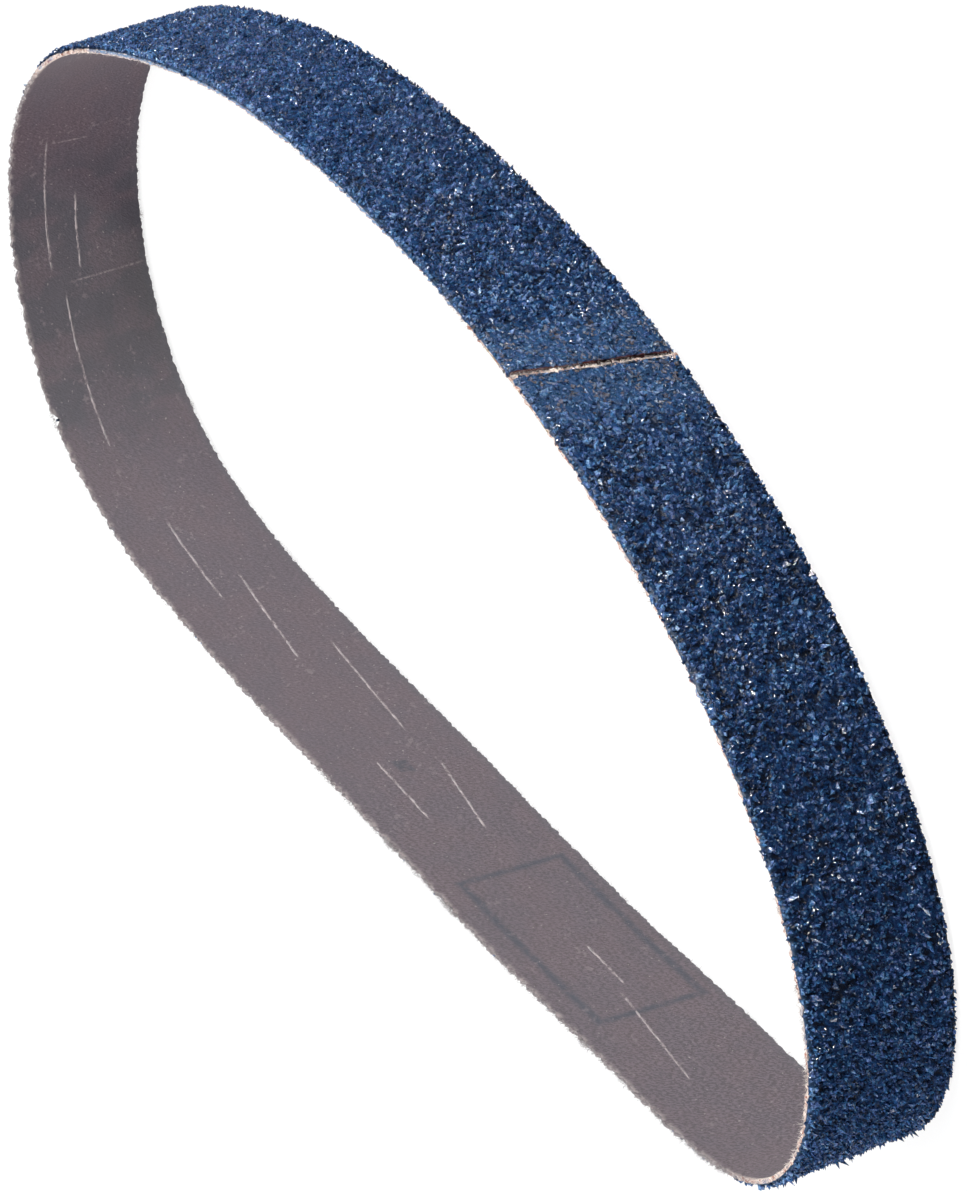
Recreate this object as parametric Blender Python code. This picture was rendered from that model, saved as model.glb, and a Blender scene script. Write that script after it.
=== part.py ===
"""A narrow sanding belt, 20 mm wide and 520 mm round, standing on its edge as an open loop.

Three pieces: the woven cloth strip, the coat of resin and coarse grain that is bonded to its
outer side, and the splice tape that holds the butt joint together from the inner side.
The two layers share one wall, so the coat follows the cloth round every bend.
"""
import math

import bpy
import numpy as np

# Sizes of the belt, in metres
BELT_LENGTH = 0.520
BELT_WIDTH = 0.020
CLOTH_THICKNESS = 0.0006
RESIN_THICKNESS = 0.00015
GRAIN_HEIGHT = 0.00045
LUMP_HEIGHT = 0.00027

# The splice: where its middle lies, how far it leans over the width, and what holds it
SPLICE_PLACE = -0.0104
SPLICE_LEAN = 0.0046
SPLICE_GAP = 0.0004
LEAN_REACH = 0.040
PRESSED_REACH = 0.008
PRESSED_SHARE = 0.45
TAPE_REACH = 0.009
TAPE_THICKNESS = 0.0002

# Degrees that the belt turns over each sixteenth of its length, from near the splice onwards:
# the near side, the tight far end, the almost straight back side and the tightest end
BENDS = (12, 8, 14, 9, 39, 41, 60, 13, 3, -2, 6, -1, 69, 48, 25, 16)

# Mesh spacing, and how far a lump's peak strays from its place in the grid, in spacings
STATION_STEP = 0.0018
ROW_STEP = 0.0017
LINE_STEP = 0.00025
LUMP_STRAY = 0.32
GRAIN_SEED = 40

# The crease angle is where a face's edge stops looking round: low on the grain, so it looks broken
CLOTH_FINISH = {"colour": (0.150, 0.117, 0.122), "roughness": 0.95, "crease": 50}
COAT_FINISH = {"colour": (0.020, 0.060, 0.200), "roughness": 0.55, "crease": 12}
TAPE_FINISH = {"colour": (0.330, 0.250, 0.150), "roughness": 0.40, "crease": 50}


def turn_rate(share):
    """Degrees turned per sixteenth at each share of the way round, eased from bend to bend."""
    bends = np.array(BENDS, dtype=float)
    count = len(bends)
    along = np.asarray(share) * count
    here = np.floor(along).astype(int)
    t = along - here
    before, start, end, after = (bends[(here + k) % count] for k in (-1, 0, 1, 2))
    linear = (end - before) * t
    square = (2 * before - 5 * start + 4 * end - after) * t**2
    cube = (3 * start - 3 * end + after - before) * t**3
    return start + 0.5 * (linear + square + cube)


def loop_line():
    """The closed middle line of the cloth in plan: its distances, points and headings.

    The heading is the running sum of the turn rate, and the line is the running sum of steps
    along the heading. What is left open at the end is spread evenly over all the steps, the
    long axis is turned onto X with the splice towards -Y, and the line is set about the origin.
    """
    count = round(BELT_LENGTH / LINE_STEP)
    share = np.arange(count) / count
    turn = turn_rate(share)
    turn = turn * (2 * math.pi / turn.sum())
    heading = np.cumsum(turn) - turn / 2
    steps = np.stack([np.cos(heading), np.sin(heading)], axis=1)
    steps = steps - steps.mean(axis=0)
    line = np.cumsum(steps, axis=0) - steps
    line = line * (BELT_LENGTH / np.linalg.norm(steps, axis=1).sum())

    spread = np.linalg.svd(line - line.mean(axis=0), full_matrices=False)[2][0]
    angle = -math.atan2(spread[1], spread[0])
    turned = line @ rotation(angle).T
    if turned[0, 1] > turned[:, 1].mean():
        turned = -turned
    middle = (turned.max(axis=0) + turned.min(axis=0)) / 2
    return share * BELT_LENGTH, turned - middle


def rotation(angle):
    """The matrix that turns plan points by an angle, counterclockwise."""
    return np.array([[math.cos(angle), -math.sin(angle)], [math.sin(angle), math.cos(angle)]])


LINE_AT, LINE_POINTS = loop_line()


def on_loop(distance, outward):
    """Plan points at distances along the belt, moved outwards from the cloth's middle line."""
    turns = np.asarray(distance) % BELT_LENGTH
    at = np.append(LINE_AT, BELT_LENGTH)
    closed = np.vstack([LINE_POINTS, LINE_POINTS[:1]])
    tangent = np.roll(LINE_POINTS, -1, axis=0) - np.roll(LINE_POINTS, 1, axis=0)
    tangent = tangent / np.linalg.norm(tangent, axis=1)[:, None]
    tangent = np.vstack([tangent, tangent[:1]])
    x, y = (np.interp(turns, at, closed[:, k]) for k in (0, 1))
    tx, ty = (np.interp(turns, at, tangent[:, k]) for k in (0, 1))
    size = np.hypot(tx, ty)
    return x + outward * ty / size, y - outward * tx / size


def ease(share):
    """A smooth rise from 0 to 1 over a share from 0 to 1."""
    share = np.clip(share, 0, 1)
    return share * share * (3 - 2 * share)


def columns_along():
    """How many columns of points the strip has, from one end of the splice to the other."""
    return round(BELT_LENGTH / STATION_STEP) + 1


def strip_surface(outward, rows, stray_along=0.0, stray_up=0.0):
    """A grid of points over the whole strip, from one end of the splice round to the other.

    Each column of points leans with the splice close to it and stands upright further away.
    The strays move single points off the grid along the belt and up it.
    """
    ends = (SPLICE_GAP / 2, BELT_LENGTH - SPLICE_GAP / 2)
    travelled = np.linspace(*ends, columns_along())[:, None] + stray_along
    height = np.linspace(0, BELT_WIDTH, rows + 1)[None, :] + stray_up
    from_splice = np.minimum(travelled, BELT_LENGTH - travelled)
    lean = SPLICE_LEAN * (height / BELT_WIDTH - 0.5) * ease(1 - from_splice / LEAN_REACH)
    x, y = on_loop(SPLICE_PLACE + travelled + lean, outward)
    z = np.broadcast_to(height, x.shape)
    return np.stack([x, y, z], axis=2)


def grain_surface(outward, rows):
    """The rough outer face of the coat: resin and grain above the cloth, in broken lumps.

    Each point of the grid gets a random height, and inside the edges a random stray, so that
    the faces between them look knapped. At the splice the grain was pressed flat with the joint.
    """
    columns = columns_along()
    chance = np.random.default_rng(GRAIN_SEED)
    lumps = LUMP_HEIGHT * chance.uniform(-1, 1, (columns, rows + 1))
    strays = LUMP_STRAY * chance.uniform(-1, 1, (2, columns, rows + 1))
    strays[:, [0, -1], :] = 0
    strays[:, :, [0, -1]] = 0
    travelled = np.linspace(0, BELT_LENGTH, columns)
    from_splice = np.minimum(travelled, BELT_LENGTH - travelled)[:, None]
    standing = PRESSED_SHARE + (1 - PRESSED_SHARE) * ease(from_splice / PRESSED_REACH)
    raised = outward + RESIN_THICKNESS + (GRAIN_HEIGHT + lumps) * standing
    stray_along = strays[0] * BELT_LENGTH / (columns - 1)
    stray_up = strays[1] * BELT_WIDTH / rows
    return strip_surface(raised, rows, stray_along, stray_up)


def grid_faces(first, columns, rows, outside):
    """Triangles over a grid of points, all cut along the same diagonal."""
    faces = []
    for i in range(columns - 1):
        for j in range(rows):
            a = first + i * (rows + 1) + j
            b = a + rows + 1
            pair = [(a, b, b + 1), (a, b + 1, a + 1)]
            faces += pair if outside else [face[::-1] for face in pair]
    return faces


def shell(name, inner, outer, finish):
    """A closed solid between an inner and an outer grid with as many columns, as an object."""
    columns = len(inner)
    inner_rows = inner.shape[1] - 1
    outer_rows = outer.shape[1] - 1
    points = np.vstack([inner.reshape(-1, 3), outer.reshape(-1, 3)])
    first_outer = inner.shape[0] * inner.shape[1]

    def inside(i, j):
        return i * (inner_rows + 1) + j

    def outside(i, j):
        return first_outer + i * (outer_rows + 1) + j

    faces = grid_faces(0, columns, inner_rows, outside=False)
    faces += grid_faces(first_outer, columns, outer_rows, outside=True)
    for i in range(columns - 1):
        low = (inside(i, 0), inside(i + 1, 0), outside(i + 1, 0), outside(i, 0))
        high = (outside(i, outer_rows), outside(i + 1, outer_rows))
        high += (inside(i + 1, inner_rows), inside(i, inner_rows))
        faces += [low, high]
    last = columns - 1
    start_inner = [inside(0, j) for j in range(inner_rows + 1)]
    start_outer = [outside(0, j) for j in range(outer_rows + 1)]
    end_inner = [inside(last, j) for j in range(inner_rows + 1)]
    end_outer = [outside(last, j) for j in range(outer_rows + 1)]
    faces.append(tuple(start_outer + start_inner[::-1]))
    faces.append(tuple(end_inner + end_outer[::-1]))

    mesh = bpy.data.meshes.new(name)
    mesh.from_pydata(points.tolist(), [], faces)
    mesh.shade_smooth()
    mesh.set_sharp_from_angle(angle=math.radians(finish["crease"]))
    mesh.materials.append(finished(name, finish))
    piece = bpy.data.objects.new(name, mesh)
    bpy.context.collection.objects.link(piece)
    return piece


def finished(name, finish):
    """A plain material of the piece's own colour."""
    material = bpy.data.materials.new(name)
    material.use_nodes = True
    shader = material.node_tree.nodes["Principled BSDF"]
    shader.inputs["Base Color"].default_value = (*finish["colour"], 1)
    shader.inputs["Roughness"].default_value = finish["roughness"]
    shader.inputs["Metallic"].default_value = 0
    return material


def cloth_backing():
    """The woven strip, whose ends meet at the splice with a fine open line between them."""
    half = CLOTH_THICKNESS / 2
    inner = strip_surface(-half, rows=1)
    outer = strip_surface(half, rows=1)
    return shell("cloth_backing", inner, outer, CLOTH_FINISH)


def abrasive_coat():
    """The resin and grain: its inner face is the cloth's outer face, its outer face is rough."""
    rows = round(BELT_WIDTH / ROW_STEP)
    half = CLOTH_THICKNESS / 2
    inner = strip_surface(half, rows=1)
    outer = grain_surface(half, rows)
    return shell("abrasive_coat", inner, outer, COAT_FINISH)


def splice_tape():
    """The tape across the butt joint: its outer face is the cloth's inner face on both ends."""
    reach = round(TAPE_REACH / STATION_STEP)
    half = CLOTH_THICKNESS / 2
    against = strip_surface(-half, rows=1)
    free = strip_surface(-half - TAPE_THICKNESS, rows=1)
    outer = np.concatenate([against[-reach - 1:], against[:reach + 1]])
    inner = np.concatenate([free[-reach - 1:], free[:reach + 1]])
    return shell("splice_tape", inner, outer, TAPE_FINISH)


for leftover in list(bpy.data.objects):
    bpy.data.objects.remove(leftover)
cloth_backing()
abrasive_coat()
splice_tape()
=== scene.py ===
# %% [markdown]
# # A sanding belt
#
# The belt is a strip of woven cloth, 20 mm wide and 520 mm round. Resin and coarse blue grain
# are bonded to its outer side, and its two ends meet at a slanted butt splice with a tape
# behind it. It stands on its edge as an open loop.
#
# Everything here is written in the belt's own coordinates: how far along it a place lies,
# how high up its width, and how far out from the middle of the cloth. One function turns
# those three numbers into a place in the room, so each piece can be thought of as flat.

# %% Load the frame
import functools
import math

import bpy
import numpy as np
from mathutils import Matrix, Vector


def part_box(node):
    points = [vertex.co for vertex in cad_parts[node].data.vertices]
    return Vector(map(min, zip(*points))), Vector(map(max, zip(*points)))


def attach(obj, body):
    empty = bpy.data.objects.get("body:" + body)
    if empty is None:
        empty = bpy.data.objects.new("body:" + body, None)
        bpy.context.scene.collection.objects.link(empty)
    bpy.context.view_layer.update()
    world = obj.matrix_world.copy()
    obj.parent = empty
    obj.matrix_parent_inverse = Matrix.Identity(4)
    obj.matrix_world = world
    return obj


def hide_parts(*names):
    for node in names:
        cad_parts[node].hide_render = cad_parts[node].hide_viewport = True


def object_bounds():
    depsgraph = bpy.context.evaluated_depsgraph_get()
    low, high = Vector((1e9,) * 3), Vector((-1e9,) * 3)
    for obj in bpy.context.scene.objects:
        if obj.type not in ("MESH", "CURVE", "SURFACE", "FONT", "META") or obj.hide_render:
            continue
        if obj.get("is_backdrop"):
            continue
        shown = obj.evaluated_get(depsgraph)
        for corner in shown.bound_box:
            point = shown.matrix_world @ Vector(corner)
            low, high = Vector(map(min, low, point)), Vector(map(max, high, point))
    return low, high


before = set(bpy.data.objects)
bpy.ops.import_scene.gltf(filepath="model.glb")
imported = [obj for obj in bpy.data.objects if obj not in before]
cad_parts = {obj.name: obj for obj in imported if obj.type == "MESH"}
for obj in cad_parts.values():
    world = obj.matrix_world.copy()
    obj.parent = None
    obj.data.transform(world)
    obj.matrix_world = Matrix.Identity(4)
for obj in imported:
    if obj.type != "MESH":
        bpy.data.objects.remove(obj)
CAD_BOX = [list(corner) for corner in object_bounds()]

# %% [markdown]
# ## The belt's line
#
# A standing belt takes up a loop that bends tightly at two places and hardly at all on the
# side between them. A spline through points would need its length corrected afterwards. Here
# the line is made from how much it turns in each sixteenth of its length, so its length is
# right from the start, as it is for a real strip.

# %% The line of the loop
LENGTH = 0.520
WIDTH = 0.020
CLOTH = 0.0006
BENDS = (12, 8, 14, 9, 39, 41, 60, 13, 3, -2, 6, -1, 69, 48, 25, 16)
SPLICE_PLACE = -0.0104
SPLICE_LEAN = 0.0046
SPLICE_GAP = 0.0004
LEAN_REACH = 0.040
LINE_STEP = 0.00025


def turn_rate(share):
    """Degrees per sixteenth at each share of the way: a cubic eased from bend to bend."""
    bends = np.array(BENDS, dtype=float)
    count = len(bends)
    along = share * count
    here = np.floor(along).astype(int)
    t = along - here
    before, start, end, after = (bends[(here + k) % count] for k in (-1, 0, 1, 2))
    linear = (end - before) * t
    square = (2 * before - 5 * start + 4 * end - after) * t**2
    cube = (3 * start - 3 * end + after - before) * t**3
    return start + 0.5 * (linear + square + cube)


def loop_line():
    """The heading is the running sum of the turning, and the line the running sum of steps."""
    count = round(LENGTH / LINE_STEP)
    turn = turn_rate(np.arange(count) / count)
    turn = turn * (2 * math.pi / turn.sum())
    heading = np.cumsum(turn) - turn / 2
    steps = np.stack([np.cos(heading), np.sin(heading)], axis=1)
    steps = steps - steps.mean(axis=0)
    line = np.cumsum(steps, axis=0) - steps
    line = line * (LENGTH / np.linalg.norm(steps, axis=1).sum())
    spread = np.linalg.svd(line - line.mean(axis=0), full_matrices=False)[2][0]
    cos, sin = spread
    turned = line @ np.array([[cos, -sin], [sin, cos]])
    if turned[0, 1] > turned[:, 1].mean():
        turned = -turned
    return turned - (turned.max(axis=0) + turned.min(axis=0)) / 2


def unit(directions):
    """Each direction divided by its own length."""
    return directions / np.linalg.norm(directions, axis=-1, keepdims=True)


LINE = loop_line()
AHEAD = unit(np.roll(LINE, -1, axis=0) - np.roll(LINE, 1, axis=0))
print("loop, mm:", np.round(np.ptp(LINE, axis=0) * 1000, 1))

# %% From belt coordinates to the room


def ease(share):
    """A smooth rise from 0 to 1 over a share from 0 to 1: three squares less two cubes."""
    share = np.clip(share, 0, 1)
    return share * share * (3 - 2 * share)


def between(values, low, high, rise, fall):
    """1 inside low and high and 0 outside, eased up over the length rise and down over fall."""
    return ease((values - low) / rise) * ease((high - values) / fall)


def from_splice_at(along):
    """How far a place is from the splice, whichever way round the loop is shorter."""
    return np.minimum(along % LENGTH, LENGTH - along % LENGTH)


def plan_at(along, up):
    """Plan points on the middle of the cloth, and the outward directions there.

    Close to the splice, a column of the belt leans with it, in proportion to its height.
    """
    lean = SPLICE_LEAN * (up / WIDTH - 0.5) * ease(1 - from_splice_at(along) / LEAN_REACH)
    at = ((SPLICE_PLACE + along + lean) % LENGTH) / LINE_STEP
    low = np.floor(at).astype(int) % len(LINE)
    high = (low + 1) % len(LINE)
    t = (at - np.floor(at))[..., None]
    point = LINE[low] * (1 - t) + LINE[high] * t
    forward = unit(AHEAD[low] * (1 - t) + AHEAD[high] * t)
    return point, np.stack([forward[..., 1], -forward[..., 0]], axis=-1)


def in_room(belt):
    """World places: the plan points moved outwards, each at its height up the width."""
    along, up, out = np.moveaxis(belt, -1, 0)
    point, outward = plan_at(along, up)
    return np.concatenate([point + outward * out[..., None], up[..., None]], axis=-1)


cloth_low, cloth_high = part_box("cloth_backing")
print("cloth in the frame, mm:", [round(1000 * (h - l), 1) for l, h in zip(cloth_low, cloth_high)])

# %% [markdown]
# ## Camera, floor and light
#
# The photograph looks down at the standing belt from a low height, with the camera rolled
# more than a quarter turn, so that the belt's upper edge lies to the left. A long lens from
# about three quarters of a metre keeps both ends of the loop nearly the same size.

# %% Camera
CAMERA_PLACE = (-0.5705, -0.4373, 0.3059)
LOOK_AZIMUTH = 38.458
LOOK_DOWN = 22.543
ROLL = math.radians(-108.87)
SENSOR_WIDTH = 36
FOCAL_LENGTH = 228.85


def in_scene(name, data):
    """A new object in the scene's collection."""
    made = bpy.data.objects.new(name, data)
    bpy.context.collection.objects.link(made)
    return made


def direction(azimuth, height):
    """The direction at an azimuth and a height above level, both in degrees."""
    around, above = math.radians(azimuth), math.radians(height)
    flat = math.cos(above)
    return np.array([math.cos(around) * flat, math.sin(around) * flat, math.sin(above)])


def set_axes(thing, right, up, back, at):
    """Turns and moves a camera or a lamp, which looks against its back direction."""
    matrix = np.eye(4)
    matrix[:3, :4] = np.stack([right, up, back, at], axis=1)
    thing.matrix_world = Matrix(matrix.tolist())


def photo_camera():
    """The photograph's view: level first, then rolled about the direction it looks in."""
    data = bpy.data.cameras.new("camera")
    data.sensor_fit = "HORIZONTAL"
    data.sensor_width = SENSOR_WIDTH
    data.lens = FOCAL_LENGTH
    data.clip_start = 0.01
    data.clip_end = 50
    forward = direction(LOOK_AZIMUTH, -LOOK_DOWN)
    level = direction(LOOK_AZIMUTH - 90, 0)
    above = np.cross(level, forward)
    right = math.cos(ROLL) * level + math.sin(ROLL) * above
    up = -math.sin(ROLL) * level + math.cos(ROLL) * above
    camera = in_scene("camera", data)
    set_axes(camera, right, up, -forward, CAMERA_PLACE)
    return camera


bpy.context.scene.camera = photo_camera()
bpy.context.scene.view_settings.view_transform = "Standard"

# %% Small helpers for materials


def feed(value, socket):
    """Joins another socket to this one, or sets a plain value on it."""
    if isinstance(value, bpy.types.NodeSocket):
        socket.id_data.links.new(value, socket)
    else:
        socket.default_value = value


def add(kind, inputs, tree=None, **settings):
    """The outputs of a new node with its inputs fed, in the tree that feeds it if none is given."""
    tree = tree or next(v.id_data for v in inputs.values() if isinstance(v, bpy.types.NodeSocket))
    node = tree.nodes.new("ShaderNode" + kind)
    for key, value in settings.items():
        setattr(node, key, value)
    for key, value in inputs.items():
        feed(value, node.inputs[key])
    return node.outputs


def maths(operation, first, second=0.0):
    """The result of one operation on two values or sockets."""
    return add("Math", {0: first, 1: second}, operation=operation)[0]


def plus(*terms):
    """Everything added up."""
    return functools.reduce(functools.partial(maths, "ADD"), terms)


def times(*factors):
    """Everything multiplied."""
    return functools.reduce(functools.partial(maths, "MULTIPLY"), factors)


def colour(red, green, blue):
    """A linear colour from the 0 to 255 values that a picture would show."""
    shown = [value / 255 for value in (red, green, blue)]
    return (*(((s + 0.055) / 1.055) ** 2.4 if s > 0.04045 else s / 12.92 for s in shown), 1)


def mix(share, first, second):
    """One colour turned into another by a share. A tuple has a picture's 0 to 255 values."""
    first, second = (colour(*c) if isinstance(c, tuple) else c for c in (first, second))
    return add("Mix", {0: share, 6: first, 7: second}, data_type="RGBA")[2]


def layered(base, *layers):
    """A base with other colours mixed over it in turn, each by its own share."""
    for share, over in layers:
        base = mix(share, base, over)
    return base


def ramp(value, low, high, start=0.0, end=1.0):
    """start below low, end above high, and a smooth change between them."""
    inputs = {0: value, 1: low, 2: high, 3: start, 4: end}
    return add("MapRange", inputs, interpolation_type="SMOOTHSTEP")[0]


def inside(value, rise, fall):
    """1 between two spans of the value and 0 outside, with smooth changes over the spans."""
    return times(ramp(value, *rise), ramp(value, *fall, 1.0, 0.0))


def outside(value, fall, rise):
    """0 between two spans of the value and 1 outside, with smooth changes over the spans."""
    return maths("MAXIMUM", ramp(value, *fall, 1.0, 0.0), ramp(value, *rise))


def stretched(parts, scales):
    """Up to three values, each times its own scale, as one vector."""
    return add("CombineXYZ", {k: times(part, scales[k]) for k, part in enumerate(parts)})[0]


def noise(vector, scale=1.0, detail=2.0, roughness=0.5):
    """Even noise from 0 to 1 about a half."""
    inputs = {"Vector": vector, "Scale": scale, "Detail": detail, "Roughness": roughness}
    return add("TexNoise", inputs)["Fac"]


def streaks(parts, scales, detail=2.0, roughness=0.5):
    """Noise that is longer one way than another: the smaller a value's scale, the longer."""
    return noise(stretched(parts, scales), 1.0, detail, roughness)


def bump(height, distance):
    """A bent normal from a height in units of distance, in metres."""
    return add("Bump", {"Height": height, "Distance": distance, "Strength": 1.0})["Normal"]


class Finish:
    """A material, the nodes its tree starts from and the shader it ends in."""

    def __init__(self, name):
        self.material = bpy.data.materials.new(name)
        self.material.use_nodes = True
        self.tree = self.material.node_tree

    def source(self, kind, **settings):
        """The outputs of a new node that is fed from nothing."""
        return add(kind, {}, self.tree, **settings)

    def attribute(self, name, output="Fac"):
        """A mesh attribute by its name."""
        return self.source("Attribute", attribute_name=name)[output]

    def belt_place(self):
        """The mesh's own belt coordinates, as a vector and as its three values."""
        belt = self.attribute("belt", "Vector")
        return belt, *add("SeparateXYZ", {0: belt})

    def finished(self, inputs):
        """The material, with values or sockets put into its shader."""
        for key, value in inputs.items():
            feed(value, self.tree.nodes["Principled BSDF"].inputs[key])
        return self.material


# %% Floor
FLOOR_SIZE = 8.0
FLOOR_DEPTH = -0.0004
FLOOR_GREY = 0.22
FLOOR_SHINE = 0.82


def floor_finish():
    """White to the camera with the belt's shadow kept: partly lit, partly given as light."""
    paper = Finish("floor_paper")
    path = paper.source("LightPath")
    seen = maths("MAXIMUM", path["Is Camera Ray"], path["Is Glossy Ray"])
    seen = maths("MAXIMUM", seen, path["Is Transmission Ray"])
    return paper.finished({
        "Base Color": (FLOOR_GREY, FLOOR_GREY, FLOOR_GREY, 1), "Roughness": 1,
        "Specular IOR Level": 0, "Emission Color": (1, 1, 1, 1),
        "Emission Strength": times(seen, FLOOR_SHINE),
    })


def floor():
    """A large flat sheet just under the belt's lower edge."""
    signs = ((-1, -1), (1, -1), (1, 1), (-1, 1))
    corners = [(x * FLOOR_SIZE / 2, y * FLOOR_SIZE / 2, FLOOR_DEPTH) for x, y in signs]
    mesh = bpy.data.meshes.new("floor")
    mesh.from_pydata(corners, [], [(0, 1, 2, 3)])
    mesh.materials.append(floor_finish())
    sheet = in_scene("floor", mesh)
    sheet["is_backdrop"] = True


floor()

# %% [markdown]
# The light comes mostly from one side, so the near stretch is mid blue where it faces the lamp
# and almost black-blue where it faces the camera. A second lamp lights the cloth's inner face
# from the other side. One hard lamp could make the grain's glints, but would also cast hard
# shadows. So they are made by five small lamps that only mirror-like rays see.


# %% Lamps and room light
ROOM_LIGHT = 0.21
LAMP_DISTANCE = 1.3
SPARK_DISTANCE = 1.1


def lamp(name, azimuth, height, distance, size, watts, glints_only=False):
    """A square lamp that faces the middle of the belt, from an azimuth and a height in degrees.

    With glints_only it is left out of matt reflection, so that it shows only as highlights.
    """
    data = bpy.data.lights.new(name, "AREA")
    data.shape = "SQUARE"
    data.size = size
    data.energy = watts
    light = in_scene(name, data)
    back = direction(azimuth, height)
    side = unit(np.cross([0, 0, 1], back))
    set_axes(light, side, np.cross(back, side), back, back * distance)
    light.visible_diffuse = not glints_only


lamp("key", -86, 34, LAMP_DISTANCE, 0.80, 15.5)
lamp("fill", 124, 34, LAMP_DISTANCE, 0.50, 14.5)
lamp("top", -40, 82, LAMP_DISTANCE, 0.60, 8.0)
for spark, azimuth, height, size, watts in (
    ("low", -44, 22, 0.08, 14.0), ("high", -84, 48, 0.08, 42.0), ("side", -104, 26, 0.08, 96.0),
    ("far", 150, 42, 0.10, 6.0), ("near", -150, 50, 0.08, 46.0),
):
    lamp("spark_" + spark, azimuth, height, SPARK_DISTANCE, size, watts, glints_only=True)


def room_light():
    """An even dim room, white where the camera sees it directly."""
    world = bpy.data.worlds.new("room")
    bpy.context.scene.world = world
    world.use_nodes = True
    seen = add("LightPath", {}, world.node_tree)["Is Camera Ray"]
    ground = world.node_tree.nodes["Background"]
    feed((1, 1, 1, 1), ground.inputs["Color"])
    feed(add("MapRange", {0: seen, 3: ROOM_LIGHT, 4: 1})[0], ground.inputs["Strength"])


room_light()

# %% [markdown]
# ## Meshes from whole arrays
#
# Thousands of grains and fibres would be slow to make one by one. Each piece is worked out as
# arrays of points and faces instead, and handed to Blender in one go.

# %% A mesh from arrays


def piece(name, points, faces, finish, slot, smooth=False, **attributes):
    """An object from points (n, 3) and lists of faces, riding on the belt's only body.

    Each array in faces has one row for a face, with three or four corners. An attribute with
    three numbers for a point is stored as a vector, any other as single values.
    """
    loops = np.concatenate([part.ravel() for part in faces])
    sizes = np.concatenate([np.full(len(part), part.shape[1]) for part in faces])
    mesh = bpy.data.meshes.new(name)
    mesh.vertices.add(len(points))
    mesh.vertices.foreach_set("co", np.ascontiguousarray(points, dtype=np.float32).ravel())
    mesh.loops.add(len(loops))
    mesh.loops.foreach_set("vertex_index", loops.astype(np.int32))
    mesh.polygons.add(len(sizes))
    mesh.polygons.foreach_set("loop_start", (np.cumsum(sizes) - sizes).astype(np.int32))
    mesh.polygons.foreach_set("use_smooth", np.full(len(sizes), smooth))
    mesh.update(calc_edges=True)
    for key, values in attributes.items():
        kind, field = ("FLOAT_VECTOR", "vector") if values.ndim == 2 else ("FLOAT", "value")
        layer = mesh.attributes.new(key, kind, "POINT")
        layer.data.foreach_set(field, np.ascontiguousarray(values, dtype=np.float32).ravel())
    mesh.materials.append(finish)
    made = in_scene(name, mesh)
    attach(made, "root")
    print(f"{name}: {len(points)} points, {int((sizes - 2).sum())} triangles")
    return made


def carried(section):
    """Points and faces of a closed section at each column, with a fan over both ends.

    section is (columns, rows, 3). The section runs clockwise as seen along the way.
    """
    columns, rows = section.shape[:2]
    i = np.arange(columns - 1)[:, None] * rows
    j = np.arange(rows)[None, :]
    k = (j + 1) % rows
    sides = np.stack([i + j, i + rows + j, i + rows + k, i + k], axis=-1).reshape(-1, 4)
    middles = section[[0, -1]].mean(axis=1)
    points = np.concatenate([section.reshape(-1, 3), middles])
    ring = np.arange(rows)
    after = np.roll(ring, -1)
    last = (columns - 1) * rows
    start = np.stack([np.full(rows, columns * rows), ring, after], axis=1)
    end = np.stack([np.full(rows, columns * rows + 1), last + after, last + ring], axis=1)
    return points, [sides, np.concatenate([start, end])]


def with_ends(section):
    """A section's values point by point, the first and last again for the ends' middle points."""
    values = section.reshape(-1, 3)
    return np.concatenate([values, values[[0, -1]]])


def ripple(along, up, shortest, longest, seed, stretch=1.0, count=18):
    """Even waviness of about -1 to 1: a sum of sines in random directions and phases.

    Wavelengths lie between shortest and longest, and are stretch times longer across the belt.
    """
    chance = np.random.default_rng(seed)
    total = np.zeros(np.broadcast(along, up).shape)
    for _ in range(count):
        wave = shortest * (longest / shortest) ** chance.uniform()
        angle = chance.uniform(0, 2 * math.pi)
        push = 2 * math.pi / wave * (along * math.cos(angle) + up * math.sin(angle) / stretch)
        total += np.sin(push + chance.uniform(0, 2 * math.pi))
    return total / math.sqrt(count / 2) / 1.6


# %% [markdown]
# ## The cloth
#
# The backing is a heavy twill, sized with resin and slit to width. Seen from the inside it
# is mauve grey with fine slanted ribs. Its cut edges show raw cream yarn, stained brown where
# the resin soaked in. It is one closed section carried along the line. The ribs are finer than
# a mesh should hold, so they are bump and colour, and the ragged cut is in the mesh.

# %% Cloth surface
CLOTH_COLUMNS = 2001
FACE_ROWS = 10
EDGE_ROWS = 3
RAGGED = 0.00020
NICK_PLACE = 0.2050
NICK_REACH = 0.0011
NICK_DEPTH = 0.0009
COCKLE = 0.00004


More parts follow.
